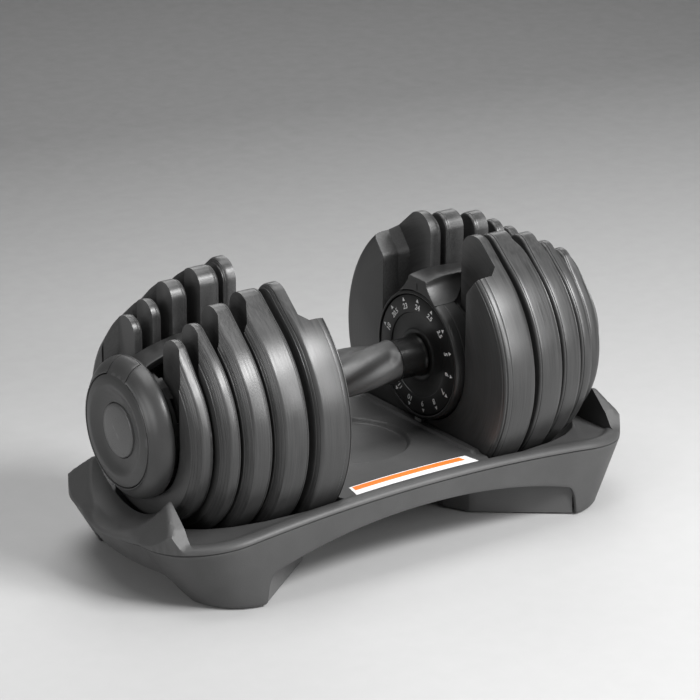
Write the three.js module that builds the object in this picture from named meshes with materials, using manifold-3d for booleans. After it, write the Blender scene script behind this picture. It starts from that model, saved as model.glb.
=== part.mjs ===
// Adjustable selector dumbbell of 24 kg, resting in its cradle.
//
// Frame: millimetres, origin on the floor under the middle of the cradle, +X along the handle, +Z up,
// the front of the cradle faces -Y. Each end of the dumbbell is drawn once, on the +X side, and the
// other end is the same group turned half a turn about Z.
import * as THREE from 'three';
import { mergeVertices } from 'three/addons/utils/BufferGeometryUtils.js';
import Module from 'manifold-3d';

const wasm = await Module();
wasm.setup();

// ---------------------------------------------------------------- driving dimensions
const AXIS_Z = 115; // height of the handle's axis above the floor
const FIT = 0.3; // gap left between pieces that touch

// cradle
const CRADLE_HALF_LENGTH = 217;
const CRADLE_HALF_WIDTH = 98;
const CRADLE_CORNER = 58;
const CRADLE_END_BOW = 8; // how far the middle of an end stands out past its corners
const DECK_ARCH_RADIUS = 1417; // the deck bows upward along X
const SEAM_Z = 59.2; // top of the skirt at mid length
const DECK_Z = 61;
const RIM_Z = 63.6;
const RIM_WIDTH = 10;
const SKIRT_WALL = 3;
const SKIRT_BASE_HALF_LENGTH = 188; // the end walls lean in towards the floor
const SKIRT_TOP_HALF_LENGTH = 228.5;
const SKIRT_TOP_CORNER = 62;
const SKIRT_BASE_CORNER = 44;
const SKIRT_SETBACK = 1; // the skirt's walls stand back from the tray's edge
const SKIRT_FULL_Z = 62; // height of the leaning walls before the arch trims them
const SEAT_HALF = 20; // half the size of the square floor in a leg, above its foot pad
const SEAT_SHIFT = 8; // a floor reaches further towards the end than its pad
const PAD_RADIUS = 9;
const LEG_BOTTOM_Z = 1.5;
const WELL_WALL = 2.6;
// the room for the plates of one end: (x, radius), 1.5 mm clear of their rims
const WELL_PROFILE = [
  [66.2, 0], [66.2, 101.5], [97, 101.5], [127.1, 97.5], [149.1, 92], [164.9, 85.5], [188.6, 70.8], [188.6, 0],
];

// plates, from the outermost (a) to the innermost (e): rim radius, height of the horn above the axis,
// radius of the horn's nose, X of the inner face, X of the outer face, thickness of the web between horns
const PLATES = [
  { name: 'a', radius: 73, horn: 71, nose: 12, inner: 166.4, outer: 181.2, web: 6.9 },
  { name: 'b', radius: 84, horn: 80, nose: 12, inner: 150.7, outer: 164.9, web: 7.2 },
  { name: 'c', radius: 90.5, horn: 90, nose: 12, inner: 128.8, outer: 149.1, web: 12.4 },
  { name: 'd', radius: 96, horn: 95.5, nose: 12, inner: 101.7, outer: 127.1, web: 16 },
  { name: 'e', radius: 100, horn: 98, nose: 15, inner: 66.8, outer: 97, web: 10 },
];
const SLOT_HALF = 19; // half width of the open slot between a plate's horns
const CHANNEL_HALF = 51; // half width of the channel that a selector disc slides into
const CHANNEL_DRAFT = 6.4; // how much narrower the channel is at the web
const HORN_WALL = 40; // half width of the channel at the web, between the horns of plates a to d
const HORN_WALL_Z = 52;
const SHOULDER_Z = 66; // height above the axis where the thick layer of plate e starts to slope away
const SHOULDER_SLOPE = 1.16;
const PLATE_BEVEL = 2;

// selector: dial, discs and knob, which turn together on the rod
const STOPS = 15;
const STOP_ANGLE = 360 / STOPS;
const PLATES_AT_STOP = [
  'abcde', '', 'a', 'b', 'ab', 'c', 'ac', 'e', 'ae', 'be', 'ce', 'de', 'bde', 'cde', 'bcde',
];
const DISC_RADIUS = 43.5;
const DISC_PLATE = 2.8;
const FLANGE_INNER = 39.6;
const FLANGE_REACH = 2.8; // how far the flange stands out of the disc
const FLANGE_GAP = 0.6; // between the flange's edge and the plate's web
const TAB_TOP = 33.5; // the plate's tab, measured down from the axis
const TAB_BOTTOM = 38.4;
const TAB_HALF_WIDTH = 4;
const TAB_REACH = 3;
const HEX_RADIUS = 13; // sleeve, across corners / 2
const HEX_BORE = 13.4;
const JOURNAL_BORE = 13.9;
const SLEEVE_BORE = 8.4;
const ROD_RADIUS = 7.8;
const DIAL_X = 61;
const DIAL_THICKNESS = 5;
const DIAL_RADIUS = 46;
const LOCK_RING_INNER = 41.4;
const LOCK_RING_OUTER = 44.6;
const LOCK_NOTCH_DEPTH = 2;
const LOCK_NOTCH_HALF = 1.6;
const LOCK_RING_REACH = 2.4;

// housing, bridge and lock
const HOUSING_RADIUS = 49.8;
const HOUSING_POCKET = 46.5;
const HOUSING_FRONT = 60.5;
const HOUSING_BACK = 79.5;
const HOUSING_WALL = 74; // X where the pocket ends
const BRIDGE_HALF_WIDTH = 11;
const BRACKET_X = 180.4;
const BRACKET_THICKNESS = 2.8;
const SLIDER_X = 69.4;
const SLIDER_THICKNESS = 2.8;

// knob
const KNOB_BACK = 184.2;
const KNOB_SHOULDER = 190;
const KNOB_FRONT = 200;
const KNOB_RADIUS = 52;
const KNOB_FRONT_RADIUS = 44.5;
const KNOB_SEAM = 41;
const KNOB_FACE_X = 202;
const TONGUE_HALF = 11.6;
const BADGE_RADIUS = 19.7;

// grip
const GRIP_HALF = 37;
const GRIP_RADIUS = 18.3;
const GRIP_END_RADIUS = 16.4;
const COLLAR_RADIUS = 15;
const ROD_HALF = 191;

const FULL = 30; // sides of a large circle
const MEDIUM = 20;
const SMALL = 10;

// ---------------------------------------------------------------- shape helpers
const degrees = THREE.MathUtils.degToRad;

function point(x, y) {
  return new THREE.Vector2(x, y);
}

function arc(radius, from, to, steps, centre = point(0, 0)) {
  const points = [];
  for (let i = 0; i <= steps; i++) {
    const angle = degrees(from + ((to - from) * i) / steps);
    points.push(point(centre.x + radius * Math.cos(angle), centre.y + radius * Math.sin(angle)));
  }
  return points;
}

function disc(radius, sides, turn = 0) {
  return new THREE.Shape(arc(radius, turn, turn + 360, sides).slice(0, -1));
}

function withHole(shape, hole) {
  shape.holes.push(new THREE.Path(hole.getPoints()));
  return shape;
}

// An outline drawn as (y, z) and pushed along X.
function alongX(shape, from, to, bevel = 0) {
  const geometry = new THREE.ExtrudeGeometry(shape, {
    depth: to - from - 2 * bevel,
    bevelEnabled: bevel > 0,
    bevelThickness: bevel,
    bevelSize: bevel,
    bevelOffset: -bevel,
    bevelSegments: 1,
  });
  const axes = new THREE.Matrix4().makeBasis(
    new THREE.Vector3(0, 1, 0), new THREE.Vector3(0, 0, 1), new THREE.Vector3(1, 0, 0),
  );
  return geometry.applyMatrix4(axes).translate(from + bevel, 0, 0);
}

// An outline drawn as (x, z) and pushed along Y, centred.
function alongY(shape, halfDepth) {
  const geometry = new THREE.ExtrudeGeometry(shape, { depth: 2 * halfDepth, bevelEnabled: false });
  return geometry.translate(0, 0, -halfDepth).rotateX(Math.PI / 2);
}

function alongZ(shape, from, to) {
  return new THREE.ExtrudeGeometry(shape, { depth: to - from, bevelEnabled: false }).translate(0, 0, from);
}

// A profile of (x, radius) points turned about the X axis.
function turned(profile, sides) {
  const points = profile.map(([x, radius]) => point(radius, x));
  return new THREE.LatheGeometry(points, sides).rotateZ(-Math.PI / 2);
}

function box(x0, x1, y0, y1, z0, z1) {
  const geometry = new THREE.BoxGeometry(x1 - x0, y1 - y0, z1 - z0);
  return geometry.translate((x0 + x1) / 2, (y0 + y1) / 2, (z0 + z1) / 2);
}

// ---------------------------------------------------------------- solids
function solid(geometry) {
  const bare = geometry.clone();
  bare.deleteAttribute('normal');
  bare.deleteAttribute('uv');
  const merged = mergeVertices(bare, 1e-4);
  return new wasm.Manifold(new wasm.Mesh({
    numProp: 3,
    vertProperties: Float32Array.from(merged.attributes.position.array),
    triVerts: Uint32Array.from(merged.index.array),
  }));
}

function join(...pieces) {
  return pieces.map(solidOf).reduce((whole, piece) => whole.add(piece));
}

function cut(body, ...pieces) {
  return pieces.map(solidOf).reduce((whole, piece) => whole.subtract(piece), solidOf(body));
}

function common(...pieces) {
  return pieces.map(solidOf).reduce((whole, piece) => whole.intersect(piece));
}

function solidOf(piece) {
  return piece.isBufferGeometry ? solid(piece) : piece;
}

function geometryOf(body) {
  const { vertProperties, triVerts } = body.getMesh();
  const geometry = new THREE.BufferGeometry();
  geometry.setAttribute('position', new THREE.BufferAttribute(vertProperties, 3));
  geometry.setIndex(new THREE.BufferAttribute(triVerts, 1));
  geometry.computeVertexNormals();
  return geometry;
}

// ---------------------------------------------------------------- materials
function material(color, roughness, metalness = 0) {
  return new THREE.MeshStandardMaterial({ color, roughness, metalness });
}

const CRADLE_PLASTIC = material(0x4a4a4b, 0.62);
const PLATE_COAT = material(0x2b2b2d, 0.42);
const HOUSING_PLASTIC = material(0x262628, 0.45);
const DIAL_PLASTIC = material(0x1b1b1c, 0.4);
const KNOB_PLASTIC = material(0x353537, 0.45);
const GRIP_RUBBER = material(0x2e2e30, 0.7);
const STEEL = material(0x9a9ca0, 0.3, 1);
const PAD_RUBBER = material(0x161616, 0.85);
const LABEL_FILM = material(0xe8e8ea, 0.4);

function piece(name, body, coat) {
  const geometry = body.isBufferGeometry ? body : geometryOf(body);
  const mesh = new THREE.Mesh(geometry, coat);
  mesh.name = name;
  return mesh;
}

// ---------------------------------------------------------------- cradle
// A rounded rectangle whose ends bow outward, as a closed ring of points.
function cradleOutline(halfLength, halfWidth, corner, bow) {
  const sideSteps = 8;
  const cornerSteps = 5;
  const endSteps = 6;
  const endX = halfLength - bow;
  const cornerX = endX - corner;
  const cornerY = halfWidth - corner;
  const quarter = [];
  for (let i = 0; i < endSteps / 2; i++) {
    const y = (cornerY * i) / (endSteps / 2);
    quarter.push(point(endX + bow * (1 - (y / cornerY) ** 2), y));
  }
  quarter.push(...arc(corner, 0, 90, cornerSteps, point(cornerX, cornerY)));
  for (let i = 1; i < sideSteps; i++) {
    quarter.push(point(cornerX * (1 - i / sideSteps), halfWidth));
  }
  quarter.push(point(0, halfWidth));
  const mirrorX = quarter.slice(0, -1).reverse().map((p) => point(-p.x, p.y));
  const upper = [...quarter, ...mirrorX];
  const lower = upper.slice(1, -1).reverse().map((p) => point(p.x, -p.y));
  return [...upper, ...lower];
}

function archZ(top, x) {
  return top - (x * x) / (2 * DECK_ARCH_RADIUS);
}

// Everything between two heights of the arched deck, over its whole length.
function archBand(low, high) {
  const reach = CRADLE_HALF_LENGTH + 15;
  const steps = 18;
  const upper = [];
  const lower = [];
  for (let i = 0; i <= steps; i++) {
    const x = -reach + (2 * reach * i) / steps;
    upper.push(point(x, archZ(high, x)));
    lower.push(point(x, archZ(low, x)));
  }
  return alongY(new THREE.Shape([...lower, ...upper.reverse()]), CRADLE_HALF_WIDTH + 15);
}

function bothEnds(makeEnd) {
  return [makeEnd(), makeEnd().rotateZ(Math.PI)];
}

// The tapering rooms round the plates of both ends.
function wells(extra) {
  const grown = WELL_PROFILE.map(([x, radius]) => [x < 70 ? x - extra : x, radius ? radius + extra : 0]);
  return bothEnds(() => turned(grown, FULL).translate(0, 0, AXIS_Z));
}

const CHEEK_INNER = 188.5; // the wall between the plates' well and the bowl under the knob
const CHEEK_OUTER = 208;
const CHEEK_TOP = 76;

function cheeks() {
  const across = new THREE.Shape([
    point(-82, 40), point(82, 40), point(68, 61), point(51, CHEEK_TOP), point(-51, CHEEK_TOP), point(-68, 61),
  ]);
  const lengthwise = new THREE.Shape([
    point(CHEEK_INNER, 40), point(CHEEK_OUTER, 40), point(CHEEK_OUTER, 47),
    point(CHEEK_INNER + 3, CHEEK_TOP + 0.5), point(CHEEK_INNER, CHEEK_TOP + 0.5),
  ]);
  const bowl = turned([[CHEEK_INNER - 1, 0], [CHEEK_INNER - 1, 62.5], [204, 68.5], [204, 0]], FULL);
  const lump = common(alongX(across, CHEEK_INNER, CHEEK_OUTER), alongY(lengthwise, CRADLE_HALF_WIDTH));
  return cut(lump, bowl.translate(0, 0, AXIS_Z));
}

function cradleTray() {
  const outline = cradleOutline(CRADLE_HALF_LENGTH, CRADLE_HALF_WIDTH, CRADLE_CORNER, CRADLE_END_BOW);
  const inset = cradleOutline(
    CRADLE_HALF_LENGTH - RIM_WIDTH, CRADLE_HALF_WIDTH - RIM_WIDTH,
    CRADLE_CORNER - RIM_WIDTH, CRADLE_END_BOW,
  );
  const slab = common(alongZ(new THREE.Shape(outline), 0, 100), archBand(SEAM_Z - 2.4, RIM_Z));
  const pocket = common(alongZ(new THREE.Shape(inset), 0, 100), archBand(DECK_Z, RIM_Z + 10));
  const skirtSeat = cut(
    common(alongZ(new THREE.Shape(outline), 0, 100), archBand(SEAM_Z - 4, SEAM_Z + FIT)),
    alongZ(new THREE.Shape(cradleOutline(
      CRADLE_HALF_LENGTH - 8, CRADLE_HALF_WIDTH - 8, CRADLE_CORNER - 8, CRADLE_END_BOW,
    )), 0, 100),
  );
  const underDeck = archBand(-200, DECK_Z - 0.2);
  const tubs = common(join(...wells(WELL_WALL)), underDeck);
  const ledges = bothEnds(() => box(60, 66.2, -70, 70, 55, AXIS_Z - 53.7));
  const cheekPair = join(cheeks(), geometryOf(cheeks()).rotateZ(Math.PI));
  const cheekInset = RIM_WIDTH - 0.7;
  const cheekRoom = cradleOutline(
    CRADLE_HALF_LENGTH - cheekInset, CRADLE_HALF_WIDTH - cheekInset,
    CRADLE_CORNER - cheekInset, CRADLE_END_BOW,
  );
  const cheekPieces = common(cheekPair, alongZ(new THREE.Shape(cheekRoom), 0, 100));
  const body = join(cut(slab, pocket), tubs, ...ledges, cheekPieces);
  const recess = alongZ(disc(45, MEDIUM), DECK_Z - 2.2, DECK_Z + 20);
  return cut(body, skirtSeat, recess, ...wells(0));
}

// Walls that lean from a ring of points on the floor out to a wider ring above it.
function leaningWalls(low, high, z0, z1) {
  const positions = [];
  low.forEach((p) => positions.push(p.x, p.y, z0));
  high.forEach((p) => positions.push(p.x, p.y, z1));
  const count = low.length;
  const index = [];
  for (let i = 0; i < count; i++) {
    const j = (i + 1) % count;
    index.push(i, j, count + j, i, count + j, count + i);
  }
  for (const [a, b, c] of THREE.ShapeUtils.triangulateShape(low, [])) {
    index.push(a, c, b);
  }
  for (const [a, b, c] of THREE.ShapeUtils.triangulateShape(high, [])) {
    index.push(count + a, count + b, count + c);
  }
  const geometry = new THREE.BufferGeometry();
  geometry.setAttribute('position', new THREE.Float32BufferAttribute(positions, 3));
  geometry.setIndex(index);
  return geometry;
}

function leaningShell(inset) {
  const halfWidth = CRADLE_HALF_WIDTH - SKIRT_SETBACK - inset;
  const low = cradleOutline(
    SKIRT_BASE_HALF_LENGTH - inset, halfWidth, SKIRT_BASE_CORNER - inset, CRADLE_END_BOW,
  );
  const high = cradleOutline(
    SKIRT_TOP_HALF_LENGTH - inset, halfWidth, SKIRT_TOP_CORNER - inset, CRADLE_END_BOW,
  );
  return leaningWalls(low, high, inset ? LEG_BOTTOM_Z - 1 : LEG_BOTTOM_Z, SKIRT_FULL_Z + inset);
}

const PAD_PLACES = {
  front_left: [-152, -75],
  front_right: [152, -75],
  back_left: [-152, 75],
  back_right: [152, 75],
};
const ARCH_FOOT_X = 139;
const ARCH_TOP_Z = 43.5;

function frontArch() {
  const crown = [];
  const steps = 10;
  for (let i = 0; i <= steps; i++) {
    const x = 118 - (236 * i) / steps;
    crown.push(point(x, ARCH_TOP_Z - (x * x) / 790));
  }
  return new THREE.Shape([
    point(-ARCH_FOOT_X - 3, -8), point(ARCH_FOOT_X + 3, -8), point(ARCH_FOOT_X, 0), point(130, 18),
    ...crown, point(-130, 18), point(-ARCH_FOOT_X, 0),
  ]);
}

// The wall thickness seen on the inner side of a leg, where the front arch turns inward.
function legReturn() {
  return new THREE.Shape([
    point(ARCH_FOOT_X, LEG_BOTTOM_Z), point(ARCH_FOOT_X + 3, LEG_BOTTOM_Z), point(133.4, 18.4),
    point(124, 28), point(120, 31), point(118, 28.2), point(130, 18),
  ]);
}

function endArch() {
  return new THREE.Shape([
    point(-66, -5), point(66, -5), point(57, 12), point(44, 19), point(20, 21),
    point(-20, 21), point(-44, 19), point(-57, 12),
  ]);
}

// The pod under each well: walls that run in from two legs and meet across the middle.
function podWalls() {
  const outer = [
    point(137, -96), point(76, -48), point(66, -28), point(66, 28), point(76, 48), point(137, 96),
  ];
  const inner = outer.map((p) => point(p.x + 3, p.y * 0.985)).reverse();
  return alongZ(new THREE.Shape([...outer.reverse(), ...inner.reverse()]), LEG_BOTTOM_Z, 46);
}

function cradleSkirt() {
  const shell = cut(
    leaningShell(0),
    leaningShell(SKIRT_WALL),
    alongY(frontArch(), CRADLE_HALF_WIDTH + 10),
    alongX(endArch(), -CRADLE_HALF_LENGTH - 20, CRADLE_HALF_LENGTH + 20),
  );
  const seats = Object.values(PAD_PLACES).map(([x, y]) => {
    const middleX = x + Math.sign(x) * SEAT_SHIFT;
    const [low, high] = [middleX - SEAT_HALF, middleX + SEAT_HALF];
    return box(low, high, y - SEAT_HALF, y + SEAT_HALF, LEG_BOTTOM_Z, LEG_BOTTOM_Z + SKIRT_WALL);
  });
  const returns = bothEnds(() => alongY(legReturn(), CRADLE_HALF_WIDTH - 2));
  const middle = box(-220, 220, -86, 86, -1, 70);
  const inside = common(
    join(cut(join(...returns), middle), ...bothEnds(podWalls), ...seats), leaningShell(SKIRT_WALL - 0.5),
  );
  return cut(common(join(shell, inside), archBand(-200, SEAM_Z)), ...wells(WELL_WALL + 0.8));
}

function footPad(x, y) {
  return alongZ(disc(PAD_RADIUS, SMALL), 0, LEG_BOTTOM_Z - FIT).translate(x, y, 0);
}

function deckLabel() {
  const outline = new THREE.Shape([
    point(-55, -87.5), point(55, -87.5), point(52, -72), point(-52, -72),
  ]);
  return common(alongZ(outline, 0, 100), archBand(DECK_Z + FIT, DECK_Z + FIT + 0.5));
}

// ---------------------------------------------------------------- plates
// A disc with a slot open at the top, whose two horns end in rounded noses.
function plateOutline(plate) {
  const centre = point(SLOT_HALF + plate.nose, plate.horn - plate.nose);
  const reach = Math.hypot(centre.x, centre.y);
  const lean = THREE.MathUtils.radToDeg(Math.acos((plate.radius - plate.nose) / reach));
  const touch = THREE.MathUtils.radToDeg(Math.atan2(centre.y, centre.x)) - lean;
  const right = [...arc(plate.nose, 180, touch, 5, centre), ...arc(plate.radius, touch, -90, 12)];
  const left = right.slice(0, -1).reverse().map((p) => point(-p.x, p.y));
  const bottom = arc(SLOT_HALF, 180, 360, 6);
  return new THREE.Shape([...right, ...left, ...bottom].reverse());
}

const CHANNEL_TOP = 130;
const CHANNEL_REACH = 40; // from the web to past the face

// The channel's outline at one depth: round at the bottom, open at the top.
function channelOutline(halfWidth, topHalfWidth) {
  return [
    ...arc(halfWidth, 180, 360, 14), point(topHalfWidth, HORN_WALL_Z), point(topHalfWidth, CHANNEL_TOP),
    point(-topHalfWidth, CHANNEL_TOP), point(-topHalfWidth, HORN_WALL_Z),
  ];
}

// The channel's cutter for plates a to d, whose walls slope outward from the web.
function outerChannel(webFace) {
  const low = channelOutline(CHANNEL_HALF - CHANNEL_DRAFT, HORN_WALL);
  const high = channelOutline(CHANNEL_HALF, CHANNEL_HALF);
  const toX = new THREE.Matrix4().makeBasis(
    new THREE.Vector3(0, 1, 0), new THREE.Vector3(0, 0, 1), new THREE.Vector3(1, 0, 0),
  );
  const slope = leaningWalls(low, high, webFace, webFace + CHANNEL_DRAFT).applyMatrix4(toX);
  const straight = alongX(new THREE.Shape(high), webFace + CHANNEL_DRAFT - 0.01, webFace + CHANNEL_REACH);
  return [slope, straight];
}

function innerChannel(webFace) {
  const outline = new THREE.Shape(channelOutline(CHANNEL_HALF, CHANNEL_HALF));
  return [alongX(outline, webFace - CHANNEL_REACH, webFace, CHANNEL_DRAFT)];
}

// The cutter that slopes the thick layer of plate e away above its shoulder.
function shoulderCutter() {
  const start = CHANNEL_HALF - 2;
  const low = SHOULDER_Z - 2 * SHOULDER_SLOPE;
  const rise = 30;
  const high = low + SHOULDER_SLOPE * rise;
  const top = 130;
  return new THREE.Shape([
    point(start, low), point(start + rise, high), point(start + rise, top),
    point(-start - rise, top), point(-start - rise, high), point(-start, low),
  ]);
}

function weightPlate(plate) {
  const body = alongX(plateOutline(plate), plate.inner, plate.outer, PLATE_BEVEL);
  const facesOut = plate.name !== 'e';
  const webFace = facesOut ? plate.inner + plate.web : plate.outer - plate.web;
  const tabX = facesOut ? [webFace - 1, webFace + TAB_REACH] : [webFace - TAB_REACH, webFace + 1];
  const tab = box(...tabX, -TAB_HALF_WIDTH, TAB_HALF_WIDTH, -TAB_BOTTOM, -TAB_TOP);
  const channel = facesOut ? outerChannel(webFace) : innerChannel(webFace);
  const shaped = join(cut(body, ...channel), tab);
  if (facesOut) {
    return shaped;
  }
  const sliderSlot = box(plate.inner - 1, SLIDER_X + 4, -5, 5, -58, -45);
  return cut(shaped, alongX(shoulderCutter(), plate.inner - 1, webFace), sliderSlot);
}

// ---------------------------------------------------------------- selector
function hexagon(radius) {
  return disc(radius, 6);
}

// Runs of neighbouring stops at which a plate is picked up, as [first, last] stop numbers.
function pickedRuns(plateName) {
  const picked = PLATES_AT_STOP.map((letters) => letters.includes(plateName));
  const runs = [];
  for (let stop = 0; stop < STOPS; stop++) {
    if (picked[stop] && !picked[(stop + STOPS - 1) % STOPS]) {
      let last = stop;
      while (picked[(last + 1) % STOPS]) {
        last += 1;
      }
      runs.push([stop, last]);
    }
  }
  return runs;
}

// A disc with hexagonal bore and arcs of flange that pass under the plate's tab at the chosen stops.
function selectorDisc(plate) {
  const facesIn = plate.name === 'e';
  const webFace = facesIn ? plate.outer - plate.web : plate.inner + plate.web;
  const span = (a, b) => (facesIn ? [webFace - b, webFace - a] : [webFace + a, webFace + b]);
  const plateStart = FLANGE_GAP + FLANGE_REACH;
  const overlap = 0.5; // of the flange into the disc
  const sides = 2 * STOPS;
  const turn = -90 - STOP_ANGLE / 2;
  const plateSolid = alongX(
    withHole(disc(DISC_RADIUS, sides, turn), hexagon(HEX_BORE)), ...span(plateStart, plateStart + DISC_PLATE),
  );
  const arcs = pickedRuns(plate.name).map(([first, last]) => {
    const from = STOP_ANGLE * (first - 0.5) - 90;
    const to = STOP_ANGLE * (last + 0.5) - 90;
    const steps = 2 * (last - first + 1);
    const outline = [...arc(DISC_RADIUS, from, to, steps), ...arc(FLANGE_INNER, to, from, steps)];
    return alongX(new THREE.Shape(outline), ...span(FLANGE_GAP, plateStart + overlap));
  });
  return join(plateSolid, ...arcs);
}

function selectorSleeve() {
  return alongX(withHole(hexagon(HEX_RADIUS), disc(SLEEVE_BORE, 20)), DIAL_X + 0.2, 189.6);
}

function numberDial() {
  const face = alongX(withHole(disc(DIAL_RADIUS, FULL), hexagon(HEX_BORE)), DIAL_X, DIAL_X + DIAL_THICKNESS);
  const back = DIAL_X + DIAL_THICKNESS;
  const ring = alongX(
    withHole(disc(LOCK_RING_OUTER, FULL), disc(LOCK_RING_INNER, FULL)), back - 0.5, back + LOCK_RING_REACH,
  );
  const notches = [];
  for (let stop = 0; stop < STOPS; stop++) {
    const notch = box(
      back, back + LOCK_RING_REACH + 1, -LOCK_NOTCH_HALF, LOCK_NOTCH_HALF,
      -LOCK_RING_INNER - LOCK_NOTCH_DEPTH, -LOCK_RING_INNER + 2,
    );
    notches.push(notch.rotateX(degrees(STOP_ANGLE * stop)));
  }
  return cut(join(face, ring), ...notches);
}

// ---------------------------------------------------------------- housing, bridge and lock
function innerHousing() {
  const cup = turned([
    [HOUSING_FRONT, HOUSING_POCKET], [HOUSING_FRONT, HOUSING_RADIUS - 1], [HOUSING_FRONT + 1, HOUSING_RADIUS],
    [HOUSING_BACK, HOUSING_RADIUS], [HOUSING_BACK, HOUSING_POCKET], [HOUSING_WALL + 2.6, HOUSING_POCKET],
    [HOUSING_WALL + 2.6, 17.5], [HOUSING_BACK, 17.5], [HOUSING_BACK, JOURNAL_BORE],
    [HOUSING_WALL, JOURNAL_BORE], [HOUSING_WALL, HOUSING_POCKET], [HOUSING_FRONT, HOUSING_POCKET],
  ], FULL);
  const springPeg = box(SLIDER_X - 1, HOUSING_WALL + 1, -3.2, 3.2, -21.5, -18.5);
  const slot = box(SLIDER_X - 0.5, SLIDER_X + SLIDER_THICKNESS + 0.5, -3.6, 3.6, -60, -44);
  return cut(join(cup, springPeg), slot);
}

// The strap over the discs, its block above the dial and the bracket behind the knob.
function bridge() {
  const top = [
    [HOUSING_FRONT, 60.5], [76, 62.5], [95, 62.5], [120, 60.5], [140, 58], [155, 56], [168, 53], [178, 49.5],
    [BRACKET_X + BRACKET_THICKNESS, 47],
  ];
  const under = [
    [BRACKET_X + BRACKET_THICKNESS, 10], [BRACKET_X, 10], [BRACKET_X, 44.5], [166, 47.5], [150, 50.5],
    [120, 54.5], [92, 56.5], [84, 55], [HOUSING_BACK, 50], [HOUSING_BACK, 30], [HOUSING_FRONT, 30],
  ];
  const side = new THREE.Shape([...top, ...under].reverse().map(([x, z]) => point(x, z)));
  const strap = alongY(side, BRIDGE_HALF_WIDTH);
  const collar = alongX(disc(20, MEDIUM), BRACKET_X, BRACKET_X + BRACKET_THICKNESS);
  const journal = alongX(disc(JOURNAL_BORE, MEDIUM), BRACKET_X - 1, BRACKET_X + BRACKET_THICKNESS + 1);
  const housingRoom = alongX(disc(HOUSING_RADIUS + FIT, FULL), HOUSING_FRONT - 1, HOUSING_BACK + 1);
  return cut(join(strap, collar), journal, housingRoom);
}

function lockSlider() {
  const back = SLIDER_X + SLIDER_THICKNESS;
  const foot = box(62.6, back, -4, 4, -53.3, -50.9);
  const stem = box(SLIDER_X, back, -3, 3, -51, -34.8);
  const tooth = box(DIAL_X + DIAL_THICKNESS + 0.4, SLIDER_X + 1, -1.2, 1.2, -38.4, -35);
  return join(foot, stem, tooth);
}

const SPRING_TURNS = 4;
const SPRING_LENGTH = 11.4;
const SPRING_BOTTOM = -33.9; // below the axis
const SPRING_RADIUS = 1.6;
const SPRING_WIRE = 0.45;

function lockSpring() {
  class Helix extends THREE.Curve {
    getPoint(t, target = new THREE.Vector3()) {
      const angle = t * SPRING_TURNS * 2 * Math.PI;
      return target.set(SPRING_RADIUS * Math.cos(angle), SPRING_RADIUS * Math.sin(angle), SPRING_LENGTH * t);
    }
  }
  const wire = disc(SPRING_WIRE, 5);
  const coil = new THREE.ExtrudeGeometry(wire, {
    steps: SPRING_TURNS * 8, bevelEnabled: false, extrudePath: new Helix(),
  });
  return coil.translate(SLIDER_X + SLIDER_THICKNESS / 2, 0, SPRING_BOTTOM);
}

// ---------------------------------------------------------------- knob
const KNOB_PROFILE = [
  [KNOB_BACK, 0], [KNOB_BACK, KNOB_RADIUS - 1.5], [KNOB_BACK + 1.5, KNOB_RADIUS],
  [KNOB_SHOULDER, KNOB_RADIUS], [KNOB_SHOULDER + 5.5, KNOB_RADIUS - 2.5], [KNOB_FRONT, KNOB_FRONT_RADIUS],
];

function knobRing() {
  const whole = turned([...KNOB_PROFILE, [KNOB_FRONT + 1, KNOB_SEAM + FIT + 2], [KNOB_FRONT + 1, 0]], FULL);
  const inside = alongX(disc(KNOB_SEAM + FIT, FULL), KNOB_BACK + 3, KNOB_FRONT + 5);
  const gap = box(KNOB_BACK + 3, KNOB_FRONT + 5, -TONGUE_HALF - FIT, TONGUE_HALF + FIT, 0, 60);
  const bore = alongX(hexagon(HEX_BORE), KNOB_BACK - 1, KNOB_BACK + 4);
  return cut(whole, inside, gap, bore);
}

function knobFace() {
  const back = KNOB_BACK + 3 + FIT;
  const plate = turned([
    [back, 0], [back, KNOB_SEAM], [KNOB_FACE_X - 1, KNOB_SEAM], [KNOB_FACE_X, KNOB_SEAM - 1.5],
    [KNOB_FACE_X + 0.6, 33], [KNOB_FACE_X - 2.5, 28], [KNOB_FACE_X - 3, 0],
  ], FULL);
  const tongue = common(
    turned([...KNOB_PROFILE, [KNOB_FACE_X, KNOB_SEAM - 1.5], [KNOB_FACE_X, 0]], FULL),
    box(back, KNOB_FACE_X + 5, -TONGUE_HALF, TONGUE_HALF, 34, 60),
  );
  const seat = alongX(disc(BADGE_RADIUS + FIT, MEDIUM), KNOB_FACE_X - 5, KNOB_FACE_X + 5);
  const screwRoom = alongX(disc(13.5, MEDIUM), back + 2.5, KNOB_FACE_X);
  const bore = alongX(hexagon(HEX_BORE), back - 1, back + 4);
  return cut(join(plate, tongue), seat, screwRoom, bore);
}

function knobBadge() {
  const back = KNOB_FACE_X - 5 + FIT;
  return turned([
    [back, 0], [back, BADGE_RADIUS], [KNOB_FACE_X - 1.6, BADGE_RADIUS], [KNOB_FACE_X - 0.2, 17],
    [KNOB_FACE_X + 0.6, 10], [KNOB_FACE_X + 0.9, 0],
  ], MEDIUM);
}

function endScrew() {
  return turned([
    [ROD_HALF - 14, 0], [ROD_HALF - 14, 3], [ROD_HALF + FIT, 3], [ROD_HALF + FIT, 11], [ROD_HALF + 1.8, 11],
    [ROD_HALF + 1.8, 6.5], [ROD_HALF + 4.5, 6], [ROD_HALF + 4.5, 0],
  ], 18);
}

// ---------------------------------------------------------------- grip and rod
function handleRod() {
  const bore = 3 + FIT;
  return turned([
    [-ROD_HALF, bore], [-ROD_HALF, ROD_RADIUS], [ROD_HALF, ROD_RADIUS], [ROD_HALF, bore],
    [ROD_HALF - 15, bore], [ROD_HALF - 15, 0], [-ROD_HALF + 15, 0], [-ROD_HALF + 15, bore], [-ROD_HALF, bore],
  ], 16);
}

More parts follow.
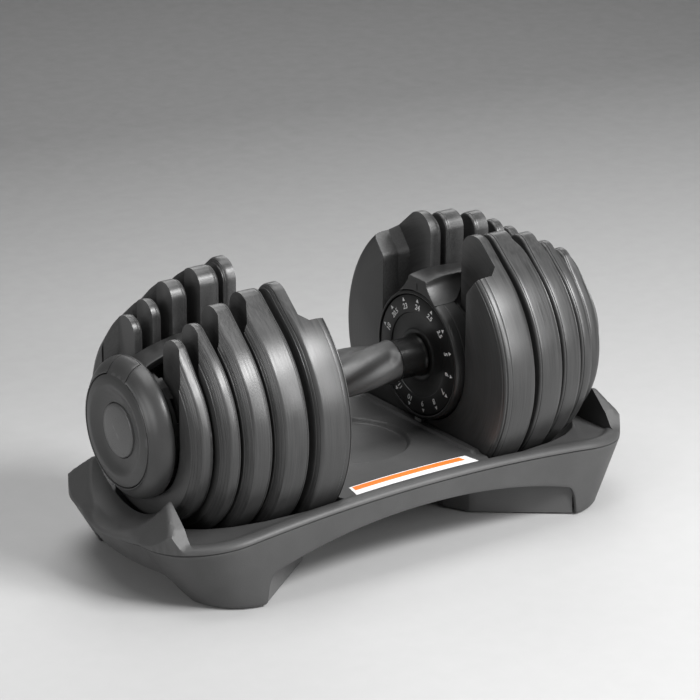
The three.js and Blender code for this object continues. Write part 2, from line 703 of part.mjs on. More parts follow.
function gripSleeve() {
  const profile = [[-GRIP_HALF, ROD_RADIUS + FIT]];
  const steps = 6;
  for (let i = 0; i <= steps; i++) {
    const x = -GRIP_HALF + (2 * GRIP_HALF * i) / steps;
    const swell = 1 - (x / GRIP_HALF) ** 2;
    profile.push([x, GRIP_END_RADIUS + (GRIP_RADIUS - GRIP_END_RADIUS) * swell]);
  }
  profile.push([GRIP_HALF, ROD_RADIUS + FIT], [-GRIP_HALF, ROD_RADIUS + FIT]);
  return turned(profile, MEDIUM);
}

function gripCollar() {
  const start = GRIP_HALF + FIT;
  const end = DIAL_X - 0.4;
  return turned([
    [start, ROD_RADIUS + FIT], [start, COLLAR_RADIUS], [end, COLLAR_RADIUS], [end, ROD_RADIUS + FIT],
    [start, ROD_RADIUS + FIT],
  ], MEDIUM);
}

// ---------------------------------------------------------------- assembly
function dumbbellEnd(side) {
  const end = new THREE.Group();
  end.position.z = AXIS_Z;
  for (const plate of PLATES) {
    end.add(piece(`plate_${plate.name}_${side}`, weightPlate(plate), PLATE_COAT));
    end.add(piece(`selector_disc_${plate.name}_${side}`, selectorDisc(plate), HOUSING_PLASTIC));
  }
  end.add(
    piece(`grip_collar_${side}`, gripCollar(), HOUSING_PLASTIC),
    piece(`inner_housing_${side}`, innerHousing(), HOUSING_PLASTIC),
    piece(`bridge_${side}`, bridge(), HOUSING_PLASTIC),
    piece(`number_dial_${side}`, numberDial(), DIAL_PLASTIC),
    piece(`selector_sleeve_${side}`, selectorSleeve(), STEEL),
    piece(`lock_slider_${side}`, lockSlider(), STEEL),
    piece(`lock_spring_${side}`, lockSpring(), STEEL),
    piece(`knob_ring_${side}`, knobRing(), KNOB_PLASTIC),
    piece(`knob_face_${side}`, knobFace(), KNOB_PLASTIC),
    piece(`knob_badge_${side}`, knobBadge(), KNOB_PLASTIC),
    piece(`end_screw_${side}`, endScrew(), STEEL),
  );
  return end;
}

const group = new THREE.Group();

const cradle = new THREE.Group();
cradle.add(
  piece('cradle_tray', cradleTray(), CRADLE_PLASTIC),
  piece('cradle_skirt', cradleSkirt(), CRADLE_PLASTIC),
  piece('deck_label', deckLabel(), LABEL_FILM),
);
for (const [place, [x, y]] of Object.entries(PAD_PLACES)) {
  cradle.add(piece(`foot_pad_${place}`, footPad(x, y), PAD_RUBBER));
}

const handle = new THREE.Group();
handle.position.z = AXIS_Z;
handle.add(
  piece('handle_rod', handleRod(), STEEL),
  piece('grip_sleeve', gripSleeve(), GRIP_RUBBER),
);

const rightEnd = dumbbellEnd('right');
const leftEnd = dumbbellEnd('left');
leftEnd.rotation.z = Math.PI;
group.add(cradle, handle, rightEnd, leftEnd);

export default group;
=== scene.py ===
"""An adjustable selector dumbbell in its cradle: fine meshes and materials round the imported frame."""

import math

import bmesh
import bpy
import numpy as np
from mathutils import Matrix, Vector
from mathutils.geometry import delaunay_2d_cdt


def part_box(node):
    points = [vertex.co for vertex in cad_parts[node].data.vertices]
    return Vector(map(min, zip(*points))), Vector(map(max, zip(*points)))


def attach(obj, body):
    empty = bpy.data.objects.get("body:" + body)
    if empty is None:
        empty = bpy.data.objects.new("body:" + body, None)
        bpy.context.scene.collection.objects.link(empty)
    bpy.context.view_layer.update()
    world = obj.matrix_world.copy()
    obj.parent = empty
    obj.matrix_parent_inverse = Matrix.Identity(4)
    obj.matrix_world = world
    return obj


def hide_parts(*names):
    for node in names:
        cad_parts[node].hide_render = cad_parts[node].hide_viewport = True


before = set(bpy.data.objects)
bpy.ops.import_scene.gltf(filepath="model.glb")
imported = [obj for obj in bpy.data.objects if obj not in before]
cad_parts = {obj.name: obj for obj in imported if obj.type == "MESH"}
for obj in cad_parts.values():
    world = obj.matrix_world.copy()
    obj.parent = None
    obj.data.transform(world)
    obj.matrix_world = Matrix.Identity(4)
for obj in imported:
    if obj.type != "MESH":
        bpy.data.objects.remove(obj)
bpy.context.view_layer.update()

# ------------------------------------------------------------------ the frame's sizes, in millimetres
MM = 0.001
SIDES = ("right", "left")
PLATES = "abcde"


def box_mm(node):
    low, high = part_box(node)
    return low / MM, high / MM


ROD_LOW, ROD_HIGH = box_mm("handle_rod")
AXIS_Z = (ROD_LOW.z + ROD_HIGH.z) / 2
TRAY_LOW, TRAY_HIGH = box_mm("cradle_tray")
HALF_LENGTH = TRAY_HIGH.x
HALF_WIDTH = TRAY_HIGH.y
SKIRT_TOP = 59.2
DECK_BOW = 2834.0  # the deck drops by x * x / DECK_BOW
CORNER = 58.0
END_BOW = 8.0

WEB = {"a": 6.9, "b": 7.2, "c": 12.4, "d": 16.0, "e": 10.0}
SLOT_HALF = 19.0
HORN_NOSE = 12.0
THICK_HORN_NOSE = 15.0
CHANNEL_HALF = 51.0
CHANNEL_DRAFT = 6.4  # how much narrower the channel is at the web
HORN_WALL = 40.0  # half width of the channel at the web, between the horns of plates a to d
HORN_WALL_Z = 52.0
SHOULDER_Z = 66.0
SHOULDER_SLOPE = 1.16

DIAL_FACE = box_mm("number_dial_right")[0].x
DIAL_RADIUS = 46.0
HOUSING_RADIUS = 49.8
HOUSING_BACK = 79.5
KNOB_BACK = box_mm("knob_ring_right")[0].x
KNOB_RADIUS = 52.0
KNOB_FRONT = 200.0
KNOB_SEAM = 41.0
BADGE_RADIUS = 19.7
TONGUE_HALF = 11.6
GRIP_HALF = box_mm("grip_sleeve")[1].x
COLLAR_RADIUS = 15.0
GRIP_LOBES = 4
GRIP_TWIST = 0.075  # radians per millimetre


# ------------------------------------------------------------------ small maths
def arc(radius, start, end, steps, centre=(0.0, 0.0)):
    """Points on an arc, angles in degrees."""
    angles = np.radians(np.linspace(start, end, steps + 1))
    return np.stack([centre[0] + radius * np.cos(angles), centre[1] + radius * np.sin(angles)], 1)


def smooth_step(low, high, value):
    t = np.clip((value - low) / (high - low), 0, 1)
    return t * t * (3 - 2 * t)


def smooth_min(a, b, k):
    """The lower of two heights, with a fillet about k wide where they cross."""
    h = np.clip(0.5 + 0.5 * (b - a) / k, 0, 1)
    return b * (1 - h) + a * h - k * h * (1 - h)


def smooth_max(a, b, k):
    return -smooth_min(-a, -b, k)


def resample(points, spacing):
    """Points along a closed outline, about spacing apart, its corners kept by the fine input."""
    loop = np.vstack([points, points[:1]])
    lengths = np.hypot(*np.diff(loop, axis=0).T)
    along = np.concatenate([[0], np.cumsum(lengths)])
    count = int(round(along[-1] / spacing))
    places = np.linspace(0, along[-1], count, endpoint=False)
    return np.stack([np.interp(places, along, loop[:, 0]), np.interp(places, along, loop[:, 1])], 1)


def outward_normals(points):
    """Unit normals of a closed outline that runs anticlockwise."""
    tangent = np.roll(points, -1, axis=0) - np.roll(points, 1, axis=0)
    tangent /= np.linalg.norm(tangent, axis=1)[:, None]
    return np.stack([tangent[:, 1], -tangent[:, 0]], 1)


# ------------------------------------------------------------------ meshes
class Shape:
    """Vertices in millimetres and faces, gathered before they become one mesh."""

    def __init__(self):
        self.points = []
        self.faces = []

    def add(self, points, faces):
        start = len(self.points)
        self.points.extend(tuple(float(c) for c in p) for p in points)
        self.faces.extend(tuple(start + i for i in face) for face in faces)
        return self

    def loft(self, rings, caps=True, closed=False):
        """Skins closed rings of equal count; closed also joins the last ring to the first."""
        count = len(rings[0])
        faces = []
        spans = len(rings) if closed else len(rings) - 1
        for r in range(spans):
            here = r * count
            there = ((r + 1) % len(rings)) * count
            for i in range(count):
                j = (i + 1) % count
                faces.append((here + i, here + j, there + j, there + i))
        if caps and not closed:
            last = (len(rings) - 1) * count
            faces.append(tuple(reversed(range(count))))
            faces.append(tuple(range(last, last + count)))
        return self.add([p for ring in rings for p in ring], faces)


def to_object(name, shape):
    mesh = bpy.data.meshes.new(name)
    mesh.from_pydata([tuple(MM * c for c in p) for p in shape.points], [], shape.faces)
    thing = bpy.data.objects.new(name, mesh)
    bpy.context.scene.collection.objects.link(thing)
    clean = bmesh.new()
    clean.from_mesh(mesh)
    bmesh.ops.remove_doubles(clean, verts=clean.verts, dist=1e-6)
    bmesh.ops.recalc_face_normals(clean, faces=clean.faces)
    clean.to_mesh(mesh)
    clean.free()
    return thing


def apply_modifiers(thing):
    evaluated = thing.evaluated_get(bpy.context.evaluated_depsgraph_get())
    mesh = bpy.data.meshes.new_from_object(evaluated)
    thing.modifiers.clear()
    thing.data = mesh
    return thing


def boolean(thing, tool, operation="DIFFERENCE"):
    """Cuts or joins with another object, which is used up."""
    step = thing.modifiers.new("boolean", "BOOLEAN")
    step.operation = operation
    step.solver = "EXACT"
    step.object = tool
    bpy.context.view_layer.update()
    apply_modifiers(thing)
    bpy.data.objects.remove(tool)
    return thing


def bevel(thing, width, segments=2, angle=35):
    step = thing.modifiers.new("bevel", "BEVEL")
    step.width = width * MM
    step.segments = segments
    step.limit_method = "ANGLE"
    step.angle_limit = math.radians(angle)
    step.miter_outer = "MITER_ARC"
    return apply_modifiers(thing)


def smooth(thing, angle=34):
    thing.data.shade_smooth()
    thing.data.set_sharp_from_angle(angle=math.radians(angle))
    return thing


def finish_piece(thing, body, nodes, material):
    thing.data.materials.clear()
    thing.data.materials.append(material)
    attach(thing, body)
    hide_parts(*nodes)
    return thing


def turned_copy(thing, name):
    """The same piece at the other end of the dumbbell, half a turn about Z."""
    copy = bpy.data.objects.new(name, thing.data.copy())
    bpy.context.scene.collection.objects.link(copy)
    copy.data.transform(Matrix.Rotation(math.pi, 4, "Z"))
    return copy


def place_both(make, node, body, material):
    """Builds a piece of the right end, and its turned copy at the left end."""
    right = make()
    right.name = f"fine_{node}_right"
    left = turned_copy(right, f"fine_{node}_left")
    for side, thing in zip(SIDES, (right, left)):
        finish_piece(thing, body.format(side=side), [f"{node}_{side}"], material)


def axis_ring(x, points):
    """An outline of (y, z) about the handle's axis, set at one x."""
    return [(x, y, AXIS_Z + z) for y, z in points]


def lathe(profile, sides=128, closed=False):
    """A profile of (x, radius) turned about the handle's axis."""
    shape = Shape()
    rings = [axis_ring(x, arc(max(radius, 0.02), 0, 360, sides)[:-1]) for x, radius in profile]
    return shape.loft(rings, caps=not closed, closed=closed)


def prism_x(outline, start, end):
    return Shape().loft([axis_ring(start, outline), axis_ring(end, outline)])


def box_shape(x, y, z):
    """A box from three (low, high) pairs, z above the floor."""
    corners = [(x[0], y[0]), (x[1], y[0]), (x[1], y[1]), (x[0], y[1])]
    return Shape().loft([[(a, b, z[0]) for a, b in corners], [(a, b, z[1]) for a, b in corners]])


# ------------------------------------------------------------------ materials
def node(tree, kind, inputs=None, **settings):
    made = tree.nodes.new(kind)
    for key, value in settings.items():
        setattr(made, key, value)
    for key, value in (inputs or {}).items():
        if isinstance(value, bpy.types.NodeSocket):
            tree.links.new(value, made.inputs[key])
        else:
            made.inputs[key].default_value = value
    return made


def maths(tree, operation, a, b=0.0, c=0.0):
    return node(tree, "ShaderNodeMath", {0: a, 1: b, 2: c}, operation=operation).outputs[0]


def ramp(tree, factor, stops):
    """Maps a factor through (position, value) stops to a grey value."""
    made = node(tree, "ShaderNodeValToRGB", {"Fac": factor})
    elements = made.color_ramp.elements
    for (position, value), element in zip(stops, (elements[0], elements[-1])):
        element.position = position
        element.color = (value, value, value, 1)
    return made.outputs["Color"]


def new_material(name, **sockets):
    material = bpy.data.materials.new(name)
    material.use_nodes = True
    tree = material.node_tree
    shader = tree.nodes["Principled BSDF"]
    for socket, value in sockets.items():
        shader.inputs[socket.replace("_", " ")].default_value = value
    return material, tree, shader


def noise(tree, vector, scale, detail=4.0, roughness=0.55):
    inputs = {"Vector": vector, "Scale": scale, "Detail": detail, "Roughness": roughness}
    return node(tree, "ShaderNodeTexNoise", inputs).outputs["Fac"]


def mix_colour(tree, factor, a, b):
    made = node(tree, "ShaderNodeMix", data_type="RGBA")
    for index, value in ((0, factor), (6, a), (7, b)):
        if isinstance(value, bpy.types.NodeSocket):
            tree.links.new(value, made.inputs[index])
        else:
            made.inputs[index].default_value = value
    return made.outputs[2]


def grey(value, warmth=0.0):
    return (value * (1 + warmth), value, value * (1 - warmth), 1)


def wear_and_highlight_edges(tree, low, high):
    """1 on convex edges and 0 elsewhere, for paler edges that are partly wear and partly a painted highlight."""
    geometry = node(tree, "ShaderNodeNewGeometry")
    return ramp(tree, geometry.outputs["Pointiness"], [(low, 0), (high, 1)])


def moulded_plastic(name, dark, light, roughness, grain, depth, edge=0.35):
    """Moulded plastic: blotches, a fine grain in the surface and slightly paler edges, partly wear and partly a
    painted highlight.
    """
    material, tree, shader = new_material(name)
    place = node(tree, "ShaderNodeTexCoord").outputs["Object"]
    blotch = noise(tree, place, 26.0)
    speck = noise(tree, place, grain, 3.0, 0.6)
    mixed = mix_colour(tree, ramp(tree, blotch, [(0.35, 0), (0.68, 1)]), grey(dark), grey(light))
    speckled = mix_colour(tree, maths(tree, "MULTIPLY", speck, 0.35), mixed, grey(light * 1.5))
    # paler convex edges: partly wear, partly a painted highlight
    edge_wear_and_highlight = maths(tree, "MULTIPLY", wear_and_highlight_edges(tree, 0.53, 0.62), edge)
    tree.links.new(mix_colour(tree, edge_wear_and_highlight, speckled, grey(light * 2.6)), shader.inputs["Base Color"])
    gloss = maths(tree, "MULTIPLY_ADD", speck, 0.16, roughness - 0.08)
    tree.links.new(gloss, shader.inputs["Roughness"])
    bump = node(tree, "ShaderNodeBump", {"Height": speck, "Strength": 0.5, "Distance": depth * MM})
    tree.links.new(bump.outputs["Normal"], shader.inputs["Normal"])
    return material


def coated_plate():
    """Black satin coat whose fine streaks run round the rim, over a slight orange peel."""
    material, tree, shader = new_material("plate_coat")
    place = node(tree, "ShaderNodeTexCoord").outputs["Object"]
    parts = node(tree, "ShaderNodeSeparateXYZ", {0: place}).outputs
    height = maths(tree, "SUBTRACT", parts["Z"], AXIS_Z * MM)
    radius = maths(tree, "SQRT", maths(tree, "ADD", maths(tree, "POWER", parts["Y"], 2.0),
                                       maths(tree, "POWER", height, 2.0)))
    angle = maths(tree, "ARCTAN2", parts["Y"], height)
    sweep = node(tree, "ShaderNodeCombineXYZ", {
        0: maths(tree, "MULTIPLY", parts["X"], 900.0),
        1: maths(tree, "MULTIPLY", radius, 900.0),
        2: maths(tree, "MULTIPLY", angle, 2.2),
    }).outputs[0]
    streaks = noise(tree, sweep, 1.0, 3.0, 0.65)
    blotch = noise(tree, place, 30.0)
    speck = noise(tree, place, 900.0, 2.0)
    base = mix_colour(tree, ramp(tree, streaks, [(0.3, 0), (0.75, 1)]), grey(0.017), grey(0.046))
    toned = mix_colour(tree, ramp(tree, blotch, [(0.4, 0), (0.7, 0.5)]), base, grey(0.040))
    # paler convex edges on the coat: partly wear, partly a painted highlight
    edge_wear_and_highlight = maths(tree, "MULTIPLY", wear_and_highlight_edges(tree, 0.53, 0.61), 0.45)
    tree.links.new(mix_colour(tree, edge_wear_and_highlight, toned, grey(0.16)), shader.inputs["Base Color"])
    gloss = maths(tree, "MULTIPLY_ADD", streaks, 0.34, 0.20)
    tree.links.new(gloss, shader.inputs["Roughness"])
    relief = maths(tree, "ADD", streaks, maths(tree, "MULTIPLY", speck, 0.7))
    bump = node(tree, "ShaderNodeBump", {"Height": relief, "Strength": 0.4, "Distance": 0.12 * MM})
    tree.links.new(bump.outputs["Normal"], shader.inputs["Normal"])
    shader.inputs["Coat Weight"].default_value = 0.12
    shader.inputs["Coat Roughness"].default_value = 0.3
    return material


def twisted_rubber():
    """Moulded rubber whose raised spiral bands are paler than the flutes between them."""
    material, tree, shader = new_material("grip_rubber")
    place = node(tree, "ShaderNodeTexCoord").outputs["Object"]
    parts = node(tree, "ShaderNodeSeparateXYZ", {0: place}).outputs
    height = maths(tree, "SUBTRACT", parts["Z"], AXIS_Z * MM)
    angle = maths(tree, "ARCTAN2", height, parts["Y"])
    turns = maths(tree, "ADD", maths(tree, "MULTIPLY", angle, float(GRIP_LOBES)),
                  maths(tree, "MULTIPLY", parts["X"], GRIP_TWIST / MM))
    band = maths(tree, "MULTIPLY", maths(tree, "COSINE", turns), -1.0)
    # the raised bands are coloured paler in patches; the flutes between them stay darker
    band_patches = noise(tree, place, 90.0)
    pale = maths(tree, "MULTIPLY", ramp(tree, band, [(0.2, 0), (0.9, 1)]), band_patches)
    speck = noise(tree, place, 1000.0, 3.0, 0.6)
    base = mix_colour(tree, speck, grey(0.014), grey(0.022))
    tree.links.new(mix_colour(tree, pale, base, grey(0.085)), shader.inputs["Base Color"])
    gloss = maths(tree, "MULTIPLY_ADD", speck, 0.2, 0.42)
    tree.links.new(gloss, shader.inputs["Roughness"])
    bump = node(tree, "ShaderNodeBump", {"Height": speck, "Strength": 0.5, "Distance": 0.12 * MM})
    tree.links.new(bump.outputs["Normal"], shader.inputs["Normal"])
    return material


def turned_steel():
    """Bright steel with turning marks along its length."""
    material, tree, shader = new_material("turned_steel", Metallic=1.0)
    place = node(tree, "ShaderNodeTexCoord").outputs["Object"]
    stretched = node(tree, "ShaderNodeMapping", {"Vector": place, "Scale": (2600.0, 60.0, 60.0)}).outputs[0]
    marks = noise(tree, stretched, 1.0, 2.0)
    tree.links.new(mix_colour(tree, marks, grey(0.36), grey(0.62)), shader.inputs["Base Color"])
    tree.links.new(maths(tree, "MULTIPLY_ADD", marks, 0.3, 0.25), shader.inputs["Roughness"])
    bump = node(tree, "ShaderNodeBump", {"Height": marks, "Strength": 0.3, "Distance": 0.05 * MM})
    tree.links.new(bump.outputs["Normal"], shader.inputs["Normal"])
    return material


def printed_film(name, colour, tint):
    """A printed sticker: even colour with a slight fleck, under a clear film."""
    material, tree, shader = new_material(name, Coat_Weight=0.3, Coat_Roughness=0.25)
    place = node(tree, "ShaderNodeTexCoord").outputs["Object"]
    fleck = noise(tree, place, 420.0, 5.0)
    tree.links.new(mix_colour(tree, fleck, colour, tint), shader.inputs["Base Color"])
    tree.links.new(maths(tree, "MULTIPLY_ADD", fleck, 0.25, 0.35), shader.inputs["Roughness"])
    bump = node(tree, "ShaderNodeBump", {"Height": fleck, "Strength": 0.2, "Distance": 0.04 * MM})
    tree.links.new(bump.outputs["Normal"], shader.inputs["Normal"])
    return material


CRADLE = moulded_plastic("cradle_plastic", 0.042, 0.058, 0.50, 950.0, 0.22)
HOUSING = moulded_plastic("housing_plastic", 0.014, 0.022, 0.38, 1300.0, 0.07)
COLLAR = moulded_plastic("collar_plastic", 0.008, 0.013, 0.24, 1300.0, 0.04, 0.2)
DIAL = moulded_plastic("dial_plastic", 0.005, 0.009, 0.42, 1300.0, 0.06, 0.15)
KNOB = moulded_plastic("knob_plastic", 0.034, 0.045, 0.36, 1200.0, 0.08)
BADGE = moulded_plastic("badge_plastic", 0.070, 0.085, 0.30, 1500.0, 0.04)
GRIP = twisted_rubber()
PAD = moulded_plastic("pad_rubber", 0.010, 0.016, 0.75, 900.0, 0.15, 0.1)
COAT = coated_plate()
STEEL = turned_steel()
LABEL_WHITE = printed_film("label_white", (0.80, 0.80, 0.81, 1), (0.90, 0.90, 0.90, 1))
LABEL_ORANGE = printed_film("label_orange", (0.80, 0.17, 0.02, 1), (0.90, 0.23, 0.04, 1))
NUMERAL = printed_film("numeral_paint", (0.78, 0.78, 0.78, 1), (0.88, 0.88, 0.88, 1))


# ------------------------------------------------------------------ plates
def plate_outline(radius, horn, nose):
    """The plate's outline as (y, z), anticlockwise, and how much of the rim's profile each point takes."""
    centre = (SLOT_HALF + nose, horn - nose)
    reach = math.hypot(*centre)
    lean = math.degrees(math.acos((radius - nose) / reach))
    touch = math.degrees(math.atan2(centre[1], centre[0])) - lean
    rim = arc(radius, -90, touch, 110)
    tip = arc(nose, touch, 180, 26, centre)
    side = np.stack([np.full(8, SLOT_HALF), np.linspace(centre[1], 0, 10)[1:-1]], 1)
    slot = arc(SLOT_HALF, 0, -90, 14)
    right = np.vstack([rim, tip[1:], side, slot])
    share = np.concatenate([np.ones(len(rim)), np.linspace(1, 0.25, len(tip) - 1),
                            np.full(len(side) + len(slot), 0.25)])
    left = right[1:-1][::-1] * (-1, 1)
    return np.vstack([right, left]), np.concatenate([share, share[1:-1][::-1]])


# (distance from the face, inset of the rim) from a plate's outer face inward
OUTER_RIM = (
    (0.0, 7.0), (0.3, 6.5), (0.55, 6.45), (0.8, 5.6), (1.3, 4.6), (1.5, 4.6), (1.8, 3.7), (2.5, 2.7), (2.75, 2.75),
    (3.1, 2.0), (4.0, 1.2), (4.3, 1.25), (4.7, 0.7), (5.8, 0.25), (7.0, 0.05),
)
# the same, from its inner face outward
INNER_RIM = (
    (0.0, 2.4), (0.3, 1.5), (0.8, 0.8), (1.4, 0.4), (2.0, 0.3), (2.2, 0.55), (2.5, 0.55), (2.8, 0.15), (3.6, 0.0),
    (4.4, 0.0),
)
THICK_OUTER_RIM = (
    (0.0, 5.0), (0.3, 4.4), (0.6, 4.35), (0.9, 3.4), (1.5, 2.2), (1.75, 2.2), (2.1, 1.3), (3.0, 0.6), (4.2, 0.15),
    (5.4, 0.0),
)
THICK_INNER_RIM = (
    (0.0, 4.6), (0.3, 4.0), (0.6, 3.9), (0.9, 2.8), (1.4, 1.7), (1.9, 1.2), (2.3, 1.25), (2.7, 1.7), (3.1, 1.6),
    (3.6, 0.7), (4.6, 0.45), (6.4, 0.35), (6.9, 0.4), (7.3, 0.1), (8.2, 0.0),
)


def rim_stations(inner, outer, thick):
    outside = THICK_OUTER_RIM if thick else OUTER_RIM
    inside = THICK_INNER_RIM if thick else INNER_RIM
    return [(inner + step, inset) for step, inset in inside] + [
        (outer - step, inset) for step, inset in reversed(outside)
    ]


def channel_cutter(face, floor, outline):
    """The channel as a solid: it widens from the floor and has a small chamfer at the face."""
    direction = 1 if face > floor else -1
    points = resample(outline, 1.6)
    normals = outward_normals(points)
    draft = CHANNEL_DRAFT * np.ones(len(points))
    if direction > 0:
        draft += np.interp(points[:, 1], (0, HORN_WALL_Z), (0, CHANNEL_HALF - CHANNEL_DRAFT - HORN_WALL))
    stations = (
        (floor, -draft), (floor + direction * CHANNEL_DRAFT, 0.0), (face - direction * 0.25, 0.1),
        (face, 0.5), (face + direction * 1.2, 1.6),
    )
    return Shape().loft([
        axis_ring(x, points + normals * np.broadcast_to(grow, len(points))[:, None]) for x, grow in stations
    ])


def channel_outline():
    top = 130.0
    return np.vstack([arc(CHANNEL_HALF, 180, 360, 60), [(CHANNEL_HALF, top), (-CHANNEL_HALF, top)]])


def shoulder_outline():
    """Plate e's channel, with its sides leaning outward above the shoulder and a rounded corner there."""
    corner = 5.0
    lean = math.degrees(math.atan(SHOULDER_SLOPE))
    centre = (CHANNEL_HALF + corner, SHOULDER_Z - 6.0)
    bend = arc(corner, 180, 90 + lean, 8, centre)
    end = bend[-1]
    reach = 44.0
    side = np.vstack([bend, [(end[0] + reach, end[1] + SHOULDER_SLOPE * reach), (end[0] + reach, 140.0)]])
    mirrored = side[::-1] * (-1, 1)
    return np.vstack([arc(CHANNEL_HALF, 180, 360, 60), side, mirrored])


def weight_plate(name):
    low, high = box_mm(f"plate_{name}_right")
    thick = name == "e"
    inner, outer = low.x, high.x
    nose = THICK_HORN_NOSE if thick else HORN_NOSE
    outline, share = plate_outline(AXIS_Z - low.z, high.z - AXIS_Z, nose)
    normals = outward_normals(outline)
    rings = [
        axis_ring(x, outline - normals * (inset * share)[:, None])
        for x, inset in rim_stations(inner, outer, thick)
    ]
    body = to_object("plate", Shape().loft(rings))
    if thick:
        floor = outer - WEB[name]
        cutter = channel_cutter(inner, floor, shoulder_outline())
    else:
        floor = inner + WEB[name]
        cutter = channel_cutter(outer, floor, channel_outline())
    boolean(body, to_object("cutter", cutter))
    tab_x = (floor - 3, floor + 1) if thick else (floor - 1, floor + 3)
    tab = box_shape(tab_x, (-4, 4), (AXIS_Z - 38.4, AXIS_Z - 33.5))
    boolean(body, to_object("tab", tab), "UNION")
    if thick:
        slot = box_shape((inner - 1, inner + 6.6), (-5, 5), (AXIS_Z - 58, AXIS_Z - 45))
        boolean(body, to_object("slot", slot))
    return smooth(body, 30)


for letter in PLATES:
    place_both(lambda: weight_plate(letter), f"plate_{letter}", f"plate_{letter}_{{side}}", COAT)


# ------------------------------------------------------------------ knob
def knob_profile(seam_x):
    """The knob's outer skin from its back edge to the seam, as (x, radius)."""
    drops = (
        (0.0, 2.2), (0.4, 1.0), (1.3, 0.25), (2.6, 0.0), (4.2, 0.05), (6.5, 0.6), (8.8, 1.6), (11.0, 3.1), (12.8, 5.0),
        (14.2, 7.0), (15.2, 8.7),
    )
    skin = [(KNOB_BACK + along, KNOB_RADIUS - drop) for along, drop in drops]
    return skin + [(seam_x, KNOB_RADIUS - 9.8)]


def tongue_box(half, low):
    return box_shape((KNOB_BACK + 3, KNOB_FRONT + 9), (-half, half), (AXIS_Z + low, AXIS_Z + 60))


def knob_ring():
    seam = KNOB_SEAM + 0.45
    front = KNOB_FRONT + 1.0
    back = KNOB_BACK + 3
    profile = knob_profile(front - 0.4) + [
        (front, seam + 0.9), (front - 0.3, seam + 0.2), (front - 1.0, seam), (back, seam), (back, 14.0),
        (KNOB_BACK, 14.0),
    ]
    ring = to_object("ring", lathe(profile, 160, closed=True))
    boolean(ring, to_object("gap", tongue_box(TONGUE_HALF + 0.9, 0)))
    return smooth(bevel(ring, 0.5), 30)


def knob_face():
    back = KNOB_BACK + 3.3
    face = KNOB_FRONT + 2.0
    profile = [
        (back, 14.0), (back, KNOB_SEAM), (face - 2.2, KNOB_SEAM), (face - 1.2, KNOB_SEAM - 0.3),
        (face - 0.8, KNOB_SEAM - 1.0), (face - 0.2, KNOB_SEAM - 4), (face + 0.35, 34.6), (face + 0.45, 33.4),
        (face + 0.25, 32.2), (face - 0.7, 30.0), (face - 1.9, 27.0), (face - 2.6, 24.2), (face - 2.9, 22.2),
        (face - 3.0, BADGE_RADIUS + 0.8), (face - 3.3, BADGE_RADIUS + 0.35), (face - 5.0, BADGE_RADIUS + 0.3),
        (back + 2.5, BADGE_RADIUS + 0.3), (back + 2.5, 14.0),
    ]
    disc = to_object("face", lathe(profile, 160, closed=True))
    skin = knob_profile(face - 1.6) + [(face - 0.9, KNOB_SEAM - 1.5), (face - 0.9, 30.0), (KNOB_BACK, 30.0)]
    tongue = to_object("tongue", lathe(skin, 160, closed=True))
    keep = box_shape((back, face + 2), (-TONGUE_HALF, TONGUE_HALF), (AXIS_Z + 36, AXIS_Z + 60))
    boolean(tongue, to_object("keep", keep), "INTERSECT")
    boolean(disc, tongue, "UNION")
    return smooth(bevel(disc, 0.5), 30)


def knob_badge():
    face = KNOB_FRONT + 2.0
    back = face - 4.7
    profile = [
        (back, 0.0), (back, BADGE_RADIUS), (face - 2.6, BADGE_RADIUS), (face - 1.9, BADGE_RADIUS - 0.25),
        (face - 1.5, BADGE_RADIUS - 0.9), (face - 1.15, BADGE_RADIUS - 2.4), (face - 0.6, 13.0),
        (face - 0.15, 8.0), (face + 0.1, 3.5), (face + 0.15, 0.0),
    ]
    return smooth(to_object("badge", lathe(profile, 128)), 40)


place_both(knob_ring, "knob_ring", "selector_{side}", KNOB)
place_both(knob_face, "knob_face", "selector_{side}", KNOB)
place_both(knob_badge, "knob_badge", "selector_{side}", BADGE)


# ------------------------------------------------------------------ dial and its numbers
STOP_NAMES = ("24", "2.5", "3.5", "5", "6", "7", "8", "9", "10", "11.5", "13.5", "16", "18", "20.5", "23")
NUMERAL_RADIUS = 37.2
ARROW_RADIUS = 42.6


def number_dial():
    face = DIAL_FACE
    back = face + 5
    profile = [
        (face + 1.2, DIAL_RADIUS), (face + 0.4, DIAL_RADIUS - 0.3), (face, DIAL_RADIUS - 1.1), (face, 33.0),
        (face + 0.15, 32.5), (face + 0.75, 32.1), (face + 0.9, 31.6), (face + 0.9, 21.0), (face + 0.7, 20.3),
        (face + 0.1, 19.6), (face, 18.8), (face + 0.1, 17.0), (face + 0.5, 16.2), (face + 0.8, 13.6),
        (back, 13.6), (back, 41.4), (back + 2.4, 41.4), (back + 2.4, 44.6), (back, 44.6), (back, DIAL_RADIUS),
    ]
    dial = to_object("dial", lathe(profile, 160, closed=True))
    notches = Shape()
    for stop in range(len(STOP_NAMES)):
        turn = 2 * math.pi * stop / len(STOP_NAMES)
        notch = box_shape((back + 0.01, back + 4), (-1.6, 1.6), (-43.4, -39.4))
        spun = [(x, y * math.cos(turn) - z * math.sin(turn), AXIS_Z + y * math.sin(turn) + z * math.cos(turn))
                for x, y, z in notch.points]
        notches.add(spun, notch.faces)
    boolean(dial, to_object("notches", notches))
    return smooth(dial, 30)


def flat_text(words, height):
    """Solid letters in millimetres, centred, as (points, faces)."""
    curve = bpy.data.curves.new("words", "FONT")
    curve.body = words
    curve.size = height
    curve.align_x = "CENTER"
    curve.align_y = "CENTER"
    curve.extrude = 0.1
    curve.shear = 0.12
    curve.offset = 0.11
    thing = bpy.data.objects.new("words", curve)
    bpy.context.scene.collection.objects.link(thing)
    bpy.context.view_layer.update()
    mesh = bpy.data.meshes.new_from_object(thing.evaluated_get(bpy.context.evaluated_depsgraph_get()))
    points = [tuple(v.co) for v in mesh.vertices]
    faces = [tuple(p.vertices) for p in mesh.polygons]
    bpy.data.objects.remove(thing)
    return points, faces


